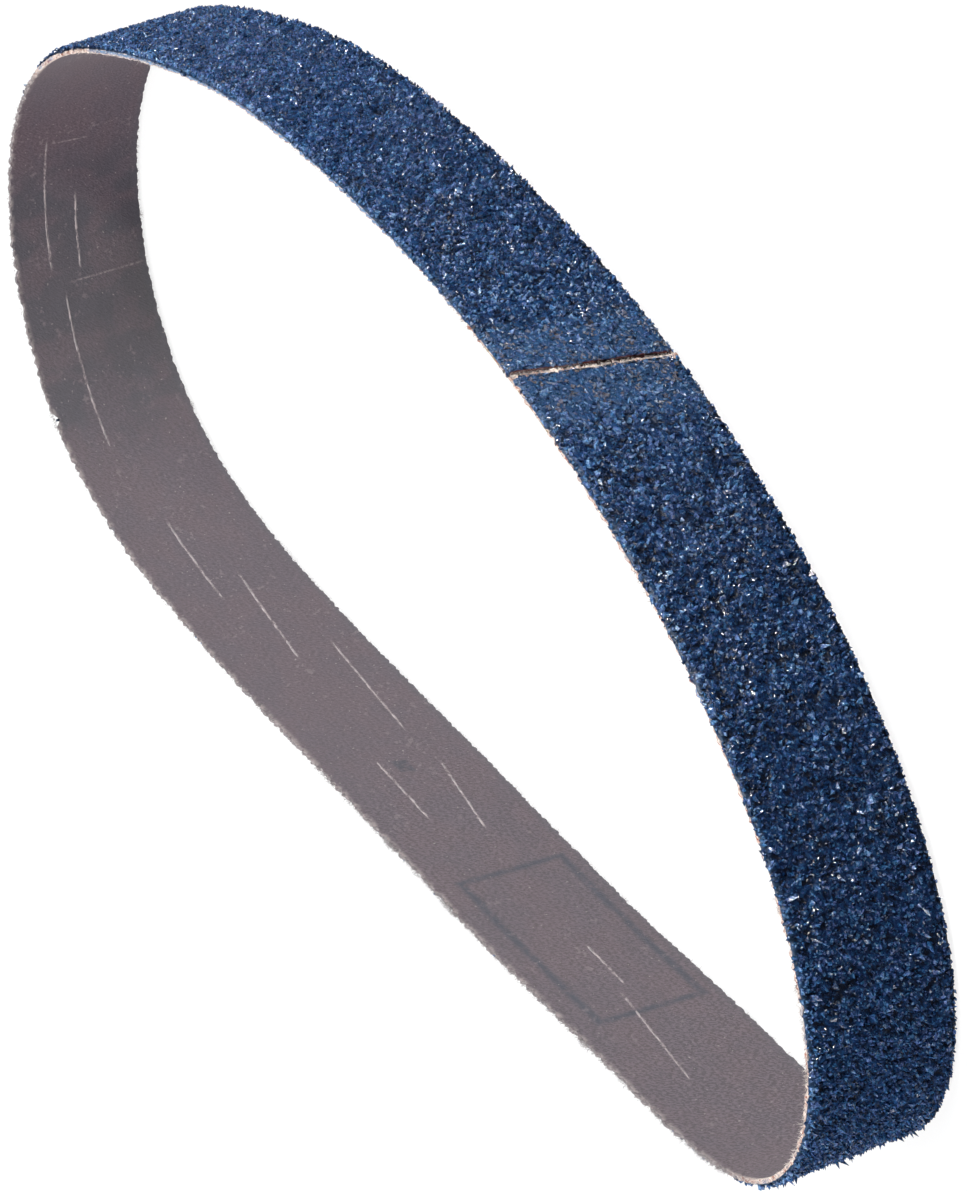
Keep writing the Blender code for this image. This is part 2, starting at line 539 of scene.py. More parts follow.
def cloth_strip():
    """The strip's closed section at each column, with its cut edges worn back unevenly.

    The wear of a cut edge is a slow ripple plus a random share for each weft end, and one nick
    in the upper edge. The whole strip cockles by a few hundredths of a millimetre. Also gives
    each point's share of the way from the inner face to the outer one.
    """
    along = np.linspace(SPLICE_GAP / 2, LENGTH - SPLICE_GAP / 2, CLOTH_COLUMNS)[:, None]
    rise = np.linspace(0, 1, FACE_ROWS)
    across = np.linspace(0, 1, EDGE_ROWS + 2)[1:-1]
    height = np.concatenate([rise[::-1], np.zeros(EDGE_ROWS), rise, np.ones(EDGE_ROWS)])[None, :]
    outward = np.concatenate([np.zeros(FACE_ROWS), across, np.ones(FACE_ROWS), across[::-1]])[None, :]
    chance = np.random.default_rng(7)
    worn = RAGGED * 0.8 * chance.uniform(0, 1, (CLOTH_COLUMNS, height.size))
    worn = np.maximum(worn + RAGGED * (0.7 + ripple(along, height, 0.0008, 0.0022, 8)), 0)
    nick = NICK_DEPTH * np.clip(1 - np.abs(along - NICK_PLACE) / NICK_REACH, 0, 1)
    up = height * WIDTH
    up = np.where(height == 1, up - worn - nick, up)
    up = np.where(height == 0, up + worn * 0.6, up)
    out = (outward - 0.5) * CLOTH + COCKLE * ripple(along, up, 0.004, 0.02, 9)
    section = np.stack(np.broadcast_arrays(along, up, out), axis=-1)
    return section, np.broadcast_to(outward, section.shape[:2])


# %% [markdown]
# The weave and the faded print are drawn in belt coordinates, in millimetres, so that they
# follow the strip round its bends. The print is a frame outline and a plain bar.

# %% Cloth finish
RIB_STEP = 1.18
WARP_MARK = 0.26
WEFT_MARK = 0.22
RUBBED_YARNS = (
    (161.6, 14.5, 184.8, 14.5), (172.6, 9.8, 185.4, 10.2), (187.6, 13.0, 212.2, 14.0),
    (225.6, 12.2, 244.8, 12.8), (239.4, 8.2, 262.4, 10.2), (260.2, 4.5, 284.8, 6.0),
    (288.6, 12.8, 304.4, 13.0), (293.2, 5.5, 310.2, 7.8), (338.6, 9.2, 349.2, 9.5),
    (350.0, 10.8, 371.2, 13.0),
)
RUBBED_WEFT = ((186.7, 12.5, 186.9, 0.2), (162.6, 14.0, 163.4, 8.0))
FRAME_PLACE = (337.4, 9.3)
FRAME_HALF = (18.0, 7.0)
FRAME_LINE = 0.60
FRAME_SLANT = 0.11
BAR_PLACE = (291.8, 10.2)
BAR_HALF = (1.3, 0.8)
BAR_SLANT = 0.4


def box_distance(along, up, place_at, half, slant):
    """Signed distance outside a box in belt coordinates, with its sides slanted a little."""
    s = plus(along, -place_at[0], times(up, slant), -place_at[1] * slant)
    z = plus(up, -place_at[1])
    across = plus(maths("ABSOLUTE", s), -half[0])
    above = plus(maths("ABSOLUTE", z), -half[1])
    return maths("MAXIMUM", across, above)


def line_mark(along, up, ends, width):
    """A soft line between two places: 1 along it, falling to 0 over its width and past its ends.

    The share of the way along comes from the dot product with the line, the distance beside it
    from the dot product with the direction across.
    """
    start, low, end, high = ends
    length = math.hypot(end - start, high - low)
    ahead, rise = (end - start) / length, (high - low) / length
    s = plus(along, -start)
    z = plus(up, -low)
    way = plus(times(s, ahead), times(z, rise))
    beside = maths("ABSOLUTE", plus(times(s, -rise), times(z, ahead)))
    past = plus(maths("ABSOLUTE", plus(way, -length / 2)), -length / 2)
    ended = ramp(past, -0.12 * length, 0.02 * length, 1.0, 0.0)
    return times(ramp(beside, 0.2 * width, width, 1.0, 0.0), ended)


def rubbed_marks(along, up):
    """Yarns that stand a little proud and are rubbed pale, nubbly and broken along their length."""
    wander = plus(streaks((along, up), (0.9, 2.2), 4, 0.75), -0.5)
    moved = plus(up, times(wander, 0.70))
    shifted = plus(along, times(wander, 0.30))
    marks = 0.0
    for ends in RUBBED_YARNS:
        marks = maths("MAXIMUM", marks, line_mark(along, moved, ends, WARP_MARK))
    for ends in RUBBED_WEFT:
        weft = times(line_mark(shifted, up, ends, WEFT_MARK), 0.7)
        marks = maths("MAXIMUM", marks, weft)
    nubs = streaks((along, up), (1.7, 2.6), 3, 0.65)
    return times(marks, ramp(nubs, 0.38, 0.62, 0.10, 1.0))


def print_marks(along, up, worn):
    """Share of faded ink: a line along a slanted box's outline and a plain bar."""
    edge = maths("ABSOLUTE", box_distance(along, up, FRAME_PLACE, FRAME_HALF, FRAME_SLANT))
    feather = plus(streaks((along, up), (1.1, 1.1), 3, 0.75), -0.5)
    edge = plus(edge, times(feather, 0.9))
    outline = ramp(edge, 0.0, FRAME_LINE * 1.7, 1.0, 0.0)
    bar = box_distance(along, up, BAR_PLACE, BAR_HALF, BAR_SLANT)
    bar = times(ramp(bar, -0.2, 0.4, 1.0, 0.0), 0.8)
    both = maths("MAXIMUM", outline, bar)
    return times(both, ramp(worn, 0.32, 0.56, 0.25, 0.95))


def twill(along, up, flat):
    """The weave's height: slanted ribs broken into dashes, uneven threads and fuzz."""
    slant = plus(along, times(up, 0.9), times(noise(flat, 0.5, 2), 0.5))
    rise = plus(along, times(up, -1.1))
    rib = maths("SINE", times(slant, 2 * math.pi / RIB_STEP))
    dashes = streaks((slant, rise), (3.6, 1.2), 2, 0.55)
    threads = streaks((along, up), (0.25, 1.9), 3, 0.6)
    fuzz = noise(flat, 4.0, 3, 0.7)
    parts = ((rib, 0.03), (dashes, 1.5), (threads, 0.35), (fuzz, 0.5))
    return plus(*(times(part, strength) for part, strength in parts))


def flat_face(along, up, flat, weave, inner_side):
    """The faces' colour: mauve twill with blotches, soil, faded ink, rubbed yarns and pale rims."""
    light = plus(ramp(weave, 0.84, 1.54), -0.5)
    light = plus(times(light, ramp(along, 280, 360, 0.8, 3.6)), 0.5)
    blotch = ramp(streaks((along, up), (0.09, 0.13), 4, 0.6), 0.40, 0.60)
    dark = mix(blotch, (71, 59, 69), (76, 61, 69))
    pale = mix(blotch, (99, 86, 97), (105, 88, 98))
    worn = noise(flat, 0.55, 4, 0.7)
    smudge = ramp(streaks((along, up), (0.16, 0.11)), 0.42, 0.56, 0.10, 0.55)
    soiled = times(inside(along, (163, 172), (204, 216)), smudge)
    high_edge = times(ramp(up, 19.0, 20.0), ramp(worn, 0.42, 0.6))
    rim = ramp(plus(up, times(noise(flat, 1.6, 3), 0.9)), 19.85, 20.15)
    rim = times(rim, plus(0.8, times(inner_side, -0.75)))
    speck = ramp(noise(flat, 1.9, 1), 0.71, 0.78)
    fluff = plus(noise(flat, 1.0, 3, 0.6), times(noise(flat, 0.22, 2), 0.6))
    return layered(
        mix(light, dark, pale),
        (ramp(along, 132, 162, 0.36, 0.06), (134, 128, 132)),
        (soiled, (62, 64, 74)),
        (print_marks(along, up, worn), (52, 56, 71)),
        (times(rubbed_marks(along, up), 0.85), (168, 153, 155)),
        (ramp(up, 0.0, 1.6, 0.45, 0.0), (84, 84, 92)),
        (times(high_edge, 0.8), (178, 166, 164)),
        (rim, (206, 190, 182)),
        (times(speck, 0.6), (168, 157, 156)),
        (ramp(fluff, 0.92, 1.06, 0.0, 0.26), (160, 145, 148)),
    )


def raw_yarn(belt, along, up, depth, inner_side):
    """The cut edges' colour: cream yarn with brown and blue stains, greyed on the inner side.

    On the near stretch the blue covers more of the upper edge, as a painted highlight.
    """
    spots = streaks((along, up, depth), (1.5, 0.8, 1.1), 3, 0.6)
    cream = ramp(noise(belt, 2.4, 2), 0.35, 0.65)
    # Painted highlight: on the near stretch the blue smear covers more of the cut edge, standing for
    # the coat's side catching the light. Elsewhere it is a smear of resin.
    rim_highlight_stretch = inside(along, (14, 24), (104, 124))
    smear_and_highlight = plus(streaks((along, up), (0.10, 0.0), 3), times(rim_highlight_stretch, 0.30))
    smear_and_highlight = times(ramp(smear_and_highlight, 0.52, 0.64), ramp(depth, 0.05, 0.4), 0.92)
    greyed = ramp(noise(belt, 1.8, 3), 0.4, 0.7)
    return layered(
        mix(cream, (176, 150, 140), (232, 216, 206)),
        (ramp(spots, 0.53, 0.62), (140, 74, 48)),
        (ramp(spots, 0.36, 0.42, 0.9, 0.0), (40, 56, 92)),
        (smear_and_highlight, (84, 122, 160)),
        (times(inner_side, 0.95), mix(greyed, (92, 86, 90), (150, 142, 142))),
    )


def cloth_finish():
    """Twill faces and raw cut edges, with a red-brown stain at the end beside the seam."""
    cloth = Finish("woven_cloth")
    belt, along, up, depth = cloth.belt_place()
    flat = stretched((along, up), (1.0, 1.0))
    weave = twill(along, up, flat)
    inner_side = inside(along, (136, 147), (389, 402))
    cut = inside(depth, (0.02, 0.14), (0.88, 0.98))
    stained = times(ramp(along, 0.35, 0.60, 1.0, 0.0), ramp(depth, 0.6, 0.9))
    base = layered(
        flat_face(along, up, flat, weave, inner_side),
        (cut, raw_yarn(belt, along, up, depth, inner_side)),
        (times(stained, 0.9), (66, 28, 24)),
    )
    return cloth.finished({
        "Base Color": base, "Roughness": 0.9, "Specular IOR Level": 0.2,
        "Normal": bump(weave, 0.00006),
    })


strip, depth_share = cloth_strip()
points, faces = carried(in_room(strip))
belt = with_ends(np.stack([strip[..., 0] * 1000, strip[..., 1] * 1000, depth_share], axis=-1))
cloth = piece("woven_cloth", points, faces, cloth_finish(), "woven_cloth", belt=belt)
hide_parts("cloth_backing")

# %% [markdown]
# ## The resin bed
#
# The grain stands in a bed of tinted resin. The bed is painted nearly black blue, darkest
# where it lies low: this is painted shade, as little light reaches it between the grains. Where
# the belt was cut to length, the resin's end shows red-brown, and on the side that the camera
# sees it is set back from the cloth's end.

# %% Resin bed
BED_COLUMNS = 1401
BED_ROWS = 57
BED_HEIGHT = 0.00031
BED_THINNEST = 0.00012
BED_LUMPS = 0.00016
BED_FOOT = 0.00006
BED_TOP = 0.00010
BED_ROUNDING = 0.0006
BED_ROOTED = 0.00004
CLUMP_RISE = 0.00013
PIT_DEPTH = 0.00018
FLOOD_RISE = 0.00008
BARE_START = 0.131
BARE_END = 0.404
BARE_RIM = 0.00075
COAT_START = 0.00032
COAT_SETBACK = 0.00056
START_CHIPS = 0.00024
END_CHIPS = 0.00030
RIM_CHIPS = 0.00026
PRESSED_REACH = 0.008


def clumps(along, up):
    """Where the grain stands thicker, in uneven bands across the belt, from about -1 to 1."""
    fine = ripple(along, up, 0.0009, 0.0022, 31, stretch=1.8, count=26)
    broad = ripple(along, up, 0.0025, 0.008, 32, stretch=1.6)
    return 0.75 * fine + 0.45 * broad


def flooded(along):
    """1 on the stretch past the splice where the coat has more resin, and 0 elsewhere."""
    return between(along, 0.03, 0.16, 0.04, 0.04)


def pressed(along):
    """1 at the splice, where the grain was pressed flat, falling to 0 a few millimetres away."""
    return 1 - ease((from_splice_at(along) - PRESSED_REACH * 0.6) / (PRESSED_REACH * 0.9))


def coat_start(up):
    """Where the coat begins after the splice, with chips of a few tenths of a millimetre."""
    return COAT_START + START_CHIPS * np.maximum(ripple(up, 0, 0.0005, 0.0022, 61), -0.6)


def coat_end(up):
    """Where the coat ends before the splice, set back further and chipped as well."""
    chips = END_CHIPS * np.clip(ripple(up, 0, 0.0005, 0.0030, 62), -0.8, 0.4)
    return LENGTH - COAT_SETBACK - chips


def bare_rim(along):
    """How far below the upper edge the coat ends: chipped, and missing on the inner side."""
    missing = BARE_RIM * between(along, BARE_START, BARE_END, 0.012, 0.012)
    chips = RIM_CHIPS * np.maximum(ripple(along, 0, 0.0009, 0.004, 63) - 0.1, 0)
    return np.maximum(missing, chips * ease((along - 0.09) / 0.03))


def bed_height(along, up):
    """The resin's height: it follows the clumps, drops into pits and is evened at the splice."""
    thick = clumps(along, up)
    pit = ease((-thick - 0.55) / 0.5)
    rise = (CLUMP_RISE * thick - PIT_DEPTH * pit) * (1 - 0.6 * pressed(along))
    return CLOTH / 2 + np.maximum(BED_HEIGHT + (rise + FLOOD_RISE * flooded(along)), BED_THINNEST)


def resin_bed():
    """Outer face: the resin's height with small lumps. The back wall is just inside the cloth."""
    up = np.linspace(BED_FOOT, WIDTH - BED_TOP, BED_ROWS)[None, :]
    share = np.linspace(0, 1, BED_COLUMNS)[:, None]
    along = coat_start(up) * (1 - share) + coat_end(up) * share
    up = up * (1 - bare_rim(along) / WIDTH)
    lump = BED_LUMPS * np.random.default_rng(12).uniform(-1, 1, (BED_COLUMNS, BED_ROWS))
    from_rim = np.minimum(up - up.min(axis=1, keepdims=True), up.max(axis=1, keepdims=True) - up)
    raised = np.maximum(bed_height(along, up) + lump, CLOTH / 2 + 0.00006)
    raised = CLOTH / 2 + (raised - CLOTH / 2) * (0.35 + 0.65 * ease(from_rim / BED_ROUNDING))
    face = np.stack(np.broadcast_arrays(along, up, raised), axis=-1)
    back = face[:, [-1, 0]].copy()
    back[..., 2] = CLOTH / 2 - BED_ROOTED
    return np.concatenate([face, back], axis=1)


def resin_finish():
    """Dark blue resin between the grains, glossy and uneven, and red-brown where it begins.
    Its low places are painted darker as shade, and its upper edge beside the splice is painted
    paler as a highlight.
    """
    resin = Finish("blue_resin")
    belt, along, up, lift = resin.belt_place()
    mottle = ramp(noise(belt, 2.2, 3, 0.6), 0.36, 0.66)
    beside = outside(along, (5, 11), (508, 515))
    # Painted highlight: the resin along the upper edge of the stretches beside the splice is painted
    # paler blue, standing for the coat's side catching the light.
    painted_rim_light = times(ramp(up, 18.9, 19.6, 0.0, 0.3), outside(along, (104, 120), (384, 392)))
    base = layered(
        mix(mottle, (8, 36, 78), (30, 74, 126)),
        # Painted shade: where the resin lies low between the grains it is mixed towards near black.
        (ramp(lift, 0.42, 0.72, 0.92, 0.0), (6, 15, 32)),
        (times(beside, 0.6), (52, 88, 132)),
        (painted_rim_light, (78, 116, 156)),
        (ramp(along, 0.50, 0.80, 1.0, 0.0), (66, 26, 22)),
    )
    return resin.finished({
        "Base Color": base, "Roughness": 0.30, "IOR": 1.20, "Specular IOR Level": 0.25,
        "Normal": bump(noise(belt, 2.6, 3, 0.6), 0.00016),
    })


bed_section = resin_bed()
points, faces = carried(in_room(bed_section))
belt = with_ends(bed_section * 1000)
bed = piece("resin_bed", points, faces, resin_finish(), "blue_grain", smooth=True, belt=belt)
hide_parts("abrasive_coat")

# %% [markdown]
# ## The grain
#
# The grain is thrown onto the resin by a charged field, which stands most crystals on end.
# Two forms are enough: a pointed crystal with six corners, stood up with a random tilt, and a
# block with eight knocked corners, turned any way up. One crystal scattered everywhere would
# show its likeness, so each grain gets its own corners, all of them worked out at once.

# %% Where the grains stand
GRAIN_PITCH = 0.00048
GRAIN_CHIPS = 0.0003
START_CLEAR = 0.00022
END_CLEAR = 0.00006


def grain_places(chance):
    """Places on a close-packed grid, each pushed off it by up to half a spacing."""
    across = round(WIDTH / GRAIN_PITCH)
    count = round(LENGTH / (GRAIN_PITCH * 0.95))
    i, j = np.meshgrid(np.arange(count), np.arange(across), indexing="ij")
    along = (i + 0.5 * (j % 2) + chance.uniform(0.05, 0.95, i.shape)) / count * LENGTH
    up = (j + chance.uniform(0.05, 0.95, i.shape)) / across * WIDTH
    return along.ravel(), up.ravel()


def kept_grains(along, up, chance):
    """Leaves grains out at the splice, thins the valleys, and chips them off the far upper rim."""
    within = (along > coat_start(up) + START_CLEAR) & (along < coat_end(up) - END_CLEAR)
    rim = bare_rim(along)
    chip = GRAIN_CHIPS * chance.uniform(-0.5, 1, len(along)) * (rim > 0)
    within &= up < WIDTH - rim - chip
    thin = np.clip(-1.4 * clumps(along, up) - 1.0, 0, 1) * (1 - pressed(along))
    return within & (chance.uniform(size=len(along)) > thin)


grain_chance = np.random.default_rng(40)
grain_along, grain_up = grain_places(grain_chance)
kept = kept_grains(grain_along, grain_up, grain_chance)
grain_along, grain_up = grain_along[kept], grain_up[kept]
print("grains:", len(grain_along))

# %% Pointed crystals and blocks
CRYSTAL_SHARE = 0.62
CRYSTAL_WIDTH = 0.000245
CRYSTAL_HEIGHT = 0.00040
BLOCK_SIZE = 0.00028
SIZE_SPREAD = 0.24
LEAN_SPREAD = 0.40
SUNK = (-0.00017, 0.00012)
PRESSED_PROUD = (0.00009, 0.00020)
PROUD_MOST = 0.00122
PROUD_AT_END = 0.00195
OVERHANG = 0.00022
CRYSTAL_FACES = np.array([
    [0, 2, 3], [0, 3, 4], [0, 4, 5], [0, 5, 2], [1, 3, 2], [1, 4, 3], [1, 5, 4], [1, 2, 5],
])
BLOCK = np.array([[x, y, z] for x in (-1, 1) for y in (-1, 1) for z in (-1, 1)], dtype=float)
BLOCK_FACES = np.array([
    [0, 1, 3], [0, 3, 2], [4, 6, 7], [4, 7, 5], [0, 4, 5], [0, 5, 1],
    [2, 3, 7], [2, 7, 6], [0, 2, 6], [0, 6, 4], [1, 5, 7], [1, 7, 3],
])


def turns(count, chance):
    """Random turns as matrices, from quaternions spread evenly over all turns."""
    w, x, y, z = np.moveaxis(chance.normal(size=(count, 4)), 1, 0)
    size = np.sqrt(w * w + x * x + y * y + z * z)
    w, x, y, z = w / size, x / size, y / size, z / size
    rows = [
        [1 - 2 * (y * y + z * z), 2 * (x * y - z * w), 2 * (x * z + y * w)],
        [2 * (x * y + z * w), 1 - 2 * (x * x + z * z), 2 * (y * z - x * w)],
        [2 * (x * z - y * w), 2 * (y * z + x * w), 1 - 2 * (x * x + y * y)],
    ]
    return np.array(rows).transpose(2, 0, 1)


def crystal_corners(count, chance):
    """Tip, root and a ring of four corners about an axis that leans at random, about the middle.

    The axis is outwards plus a random lean. The ring's corners have their own reach, angle and
    height, so that no two crystals are alike.
    """
    lean = chance.normal(0, LEAN_SPREAD, (count, 2))
    axis = unit(np.concatenate([lean, np.ones((count, 1))], axis=1))
    first = unit(np.stack([axis[:, 2], np.zeros(count), -axis[:, 0]], axis=1))
    second = np.cross(axis, first)
    proud = chance.choice([1.0, 1.5, 2.6], count, p=[0.84, 0.10, 0.06])
    width = CRYSTAL_WIDTH * np.exp(SIZE_SPREAD * chance.normal(size=count)) * proud**0.4
    tall = CRYSTAL_HEIGHT * np.exp(SIZE_SPREAD * chance.normal(size=count)) * proud
    angle = chance.uniform(0, 2 * math.pi, count)[:, None] + np.arange(4) * math.pi / 2
    angle = angle + chance.uniform(-0.45, 0.45, (count, 4))
    reach = (width[:, None] * chance.uniform(0.65, 1.35, (count, 4)))[..., None]
    lift = (tall[:, None] * chance.uniform(-0.35, 0.45, (count, 4)))[..., None]
    around = np.cos(angle)[..., None] * first[:, None] + np.sin(angle)[..., None] * second[:, None]
    ring = reach * around + lift * axis[:, None]
    aside = width[:, None] * chance.normal(0, 0.22, (count, 2))
    tip = axis * tall[:, None] + first * aside[:, :1] + second * aside[:, 1:]
    return np.concatenate([tip[:, None], -tip[:, None], ring], axis=1)


def block_corners(count, chance):
    """A cube's corners moved at random, stretched along one side and turned any way."""
    corners = BLOCK[None] * 0.58 + chance.uniform(-0.24, 0.24, (count, 8, 3))
    size = BLOCK_SIZE * np.exp(SIZE_SPREAD * chance.normal(size=count))
    middle, short = chance.uniform(0.8, 1.15, count), chance.uniform(0.55, 0.95, count)
    stretch = np.stack([np.full(count, 1.5), middle, short], axis=1)
    corners = corners * (stretch * size[:, None])[:, None, :]
    return np.einsum("nij,nkj->nki", turns(count, chance), corners)


def stand(corners, along, up, chance):
    """Sets grains into the bed by the clumps' height, and presses or trims what stands too far.

    Corners past the pressed height at the splice are moved most of the way back to it. Those
    past the lower edge, far past the upper one or too far in or out are moved back to the limit.
    """
    count = len(along)
    height = bed_height(along, up) + chance.uniform(*SUNK, count) - 0.00005 * flooded(along)
    placed = np.stack([along, up, height], axis=1)[:, None, :] + corners
    flat = CLOTH / 2 + BED_HEIGHT + chance.uniform(*PRESSED_PROUD, count)
    from_edge = np.minimum(up, WIDTH - up)
    most = np.where(along > 0.39, PROUD_AT_END, PROUD_MOST)
    free = np.minimum(0.00085 + 0.9 * from_edge, most)
    flattened = chance.uniform(size=count) < pressed(along) * 1.1
    limit = np.where(flattened, flat, free)[:, None]
    over = np.maximum(placed[..., 2] - limit, 0)
    placed[..., 2] = placed[..., 2] - over * np.where(flattened, 0.72, 1.0)[:, None]
    placed[..., 2] = np.maximum(placed[..., 2], CLOTH / 2 - 0.00015)
    high = WIDTH + OVERHANG - bare_rim(along)
    placed[..., 1] = np.clip(placed[..., 1], 0.00002, high[:, None])
    placed[..., 0] = np.clip(placed[..., 0], coat_start(up)[:, None], coat_end(up)[:, None] + 0.0001)
    return placed


# %% Grain finish


def grain_finish():
    """Glazed blue grain: a tone for each, darkened low down and tan where it was rubbed.

    The lightest tones turn pale blue: partly paler grain, partly painted glints. Low down each
    grain is mixed towards near black: partly resin round its root, partly painted shade.
    """
    grain = Finish("blue_grain")
    spot = grain.source("TexCoord")["Object"]
    hue = ramp(noise(spot, 1400, 1), 0.40, 0.60)
    patches = ramp(noise(spot, 4000, 2), 0.35, 0.65, -0.32, 0.32)
    mottle = plus(grain.attribute("tone"), patches)
    base = layered(
        (13, 40, 77),
        (ramp(mottle, 0.0, 0.95), mix(hue, (60, 116, 170), (80, 108, 170))),
        # Painted highlight, in part: the lightest grains turn pale blue, standing for glints.
        (ramp(mottle, 0.8, 1.15, 0.0, 0.5), (142, 178, 214)),
        # Painted shade, in part: low on each grain the colour goes towards near black, where little
        # light reaches between grains; partly it is the resin round the root.
        (ramp(grain.attribute("rise"), 0.46, 0.94, 0.82, 0.0), (8, 19, 41)),
        (grain.attribute("rub"), (128, 118, 108)),
    )
    return grain.finished({
        "Base Color": base, "Roughness": 0.10, "IOR": 1.20, "Specular IOR Level": 0.5,
        "Normal": bump(noise(spot, 3600, 2), 0.00011),
    })


# %% Grain pieces
GRAIN_PIECES = 4
RUBBED_ELSEWHERE = 0.0003


def grain_tone(along, up, chance):
    """How light each grain is: more at and near the splice, more on clumps, so that the valleys
    get painted shade, and much more on the near stretches' upper rim as a painted highlight.

    The tones spread by a random share, which is larger where the photograph is crisp.
    """
    close = ease(1 - from_splice_at(along) / 0.030)
    limb = between(along, 0.385, 0.460, 0.015, 0.02)
    # Painted highlight: grains on the upper rim beside the splice face up to the light and are
    # painted lighter. The clumps' share paints shade into the valleys between them.
    painted_rim_highlight = ease((up - 0.0187) / 0.0007) * ((along < 0.115) + (along > 0.395))
    tone = 0.40 + 0.20 * pressed(along) + 0.46 * close + 0.14 * clumps(along, up) + 0.42 * painted_rim_highlight
    tone = tone - 0.5 * ease((0.0009 - along) / 0.0004) + 0.07 * limb
    crisp = ease((along - 0.455) / 0.02) + ease((0.03 - along) / 0.02)
    spread = 0.28 + 0.20 * crisp + 0.12 * close - 0.06 * flooded(along) - 0.14 * limb
    return np.clip(tone + spread * chance.normal(size=len(along)), 0, 1)


def grain_rub(along, up, chance):
    """How brown each grain is: many in patches at the splice, and hardly any elsewhere."""
    patch = ripple(along, up, 0.002, 0.006, 33)
    share = 0.85 * pressed(along) * ease((patch + 0.05) / 0.6) + RUBBED_ELSEWHERE
    rubbed = chance.uniform(size=len(along)) < share
    return rubbed * chance.uniform(0.20, 0.60, len(along))


def grain_piece(name, along, up, seed, finish):
    """One stretch of grains, crystals and blocks together, in a single mesh."""
    chance = np.random.default_rng(seed)
    split = chance.uniform(size=len(along)) < CRYSTAL_SHARE
    corners, faces, tone, rub = [], [], [], []
    first = 0
    for here, corners_of, form in (
        (split, crystal_corners, CRYSTAL_FACES), (~split, block_corners, BLOCK_FACES),
    ):
        count = int(here.sum())
        placed = stand(corners_of(count, chance), along[here], up[here], chance)
        each = placed.shape[1]
        corners.append(placed.reshape(-1, 3))
        faces.append((form[None] + each * np.arange(count)[:, None, None]).reshape(-1, 3) + first)
        tone.append(np.repeat(grain_tone(along[here], up[here], chance), each))
        rub.append(np.repeat(grain_rub(along[here], up[here], chance), each))
        first += count * each
    corners, tone, rub = (np.concatenate(parts) for parts in (corners, tone, rub))
    rise = corners[:, 2] * 1000
    made = piece(name, in_room(corners), faces, finish, "blue_grain", tone=tone, rub=rub, rise=rise)
    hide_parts("abrasive_coat")


grain_look = grain_finish()
order = np.argsort(grain_along, kind="stable")
for number, part in enumerate(np.array_split(order, GRAIN_PIECES), start=1):
    grain_piece(f"grain_{number}", grain_along[part], grain_up[part], 40 + number, grain_look)

# %% [markdown]
# ## Loose yarn and fray
#
# Slitting the cloth leaves weft ends standing out of both edges, and the two cut ends show a
# cream line of lint between them. Each fibre is a thin three-sided taper along a bent line.

# %% Fibres
FIBRE_STEPS = 4
FIBRE_LOWEST = -0.00032
FIBRE_HIGHEST = WIDTH + 0.00058


def fibres(root, tip, sag, radius):
    """Tapered three-sided fibres: their points in belt coordinates and their faces.

    The middle line runs straight from root to tip plus a bow of sag at its middle. At each step
    a triangle stands round it, with a radius that falls to a fifth at the tip. Heights are
    kept above the floor and near the upper edge.
    """
    share = np.linspace(0, 1, FIBRE_STEPS)[None, :, None]
    line = root[:, None] * (1 - share) + tip[:, None] * share + sag[:, None] * 4 * share * (1 - share)
    ahead = unit(tip - root)
    helper = np.where(np.abs(ahead[:, :1]) < 0.8, [[1.0, 0, 0]], [[0, 1.0, 0]])
    first = unit(np.cross(ahead, helper))[:, None]
    second = np.cross(ahead, first[:, 0])[:, None]
    angle = (np.arange(3) * 2 * math.pi / 3)[None, :, None]
    around = np.cos(angle) * first + np.sin(angle) * second
    width = radius[:, None, None, None] * (1 - 0.8 * share[..., None])
    points = line[:, :, None] + width * around[:, None]
    points[..., 1] = np.clip(points[..., 1], FIBRE_LOWEST, FIBRE_HIGHEST)
    rows = 3 * FIBRE_STEPS
    base = rows * np.arange(len(root))[:, None]
    i, j = np.meshgrid(np.arange(FIBRE_STEPS - 1) * 3, np.arange(3), indexing="ij")
    i, j = i.ravel(), j.ravel()
    k = (j + 1) % 3
    sides = np.stack([i + j, i + k, i + 3 + k, i + 3 + j], axis=1)
    sides = (base[..., None] + sides[None]).reshape(-1, 4)
    ends = np.array([[0, 2, 1], [rows - 3, rows - 2, rows - 1]])
    ends = (base[..., None] + ends[None]).reshape(-1, 3)
    return points.reshape(-1, 3), [sides, ends]


# %% Fray and lint
FRAY = (
    (0.0005, 0.5195, 1, 1500, 0.00028), (0.0005, 0.5195, 0, 900, 0.00024),
    (0.285, 0.392, 1, 1700, 0.00056), (0.165, 0.285, 1, 900, 0.00040),
    (0.165, 0.400, 0, 1300, 0.00046), (0.3050, 0.3068, 1, 60, 0.0008),
    (0.3200, 0.3240, 1, 110, 0.0008), (0.3560, 0.3585, 1, 80, 0.0008),
    (0.095, 0.160, 1, 420, 0.00040), (0.385, 0.440, 1, 600, 0.00042),
    (0.006, 0.0176, 1, 110, 0.00042), (0.486, 0.4916, 1, 60, 0.00045),
    (0.448, 0.450, 1, 25, 0.00045), (0.4265, 0.429, 1, 30, 0.00045),
    (0.1790, 0.1802, 0, 26, 0.0009), (0.2080, 0.2096, 0, 26, 0.0008),
    (0.2036, 0.2064, 1, 50, 0.0007),
)
LINT_COUNT = 900
LINT_LENGTH = 0.00034


def grown(root, away, length, bow, radii, chance):
    """Fibres from their roots: tips at their length along a direction, a random bow and radius."""
    tip = root + unit(away) * length[:, None]
    sag = chance.normal(0, bow, (len(root), 3)) * length[:, None]
    return root, tip, sag, chance.uniform(*radii, len(root))


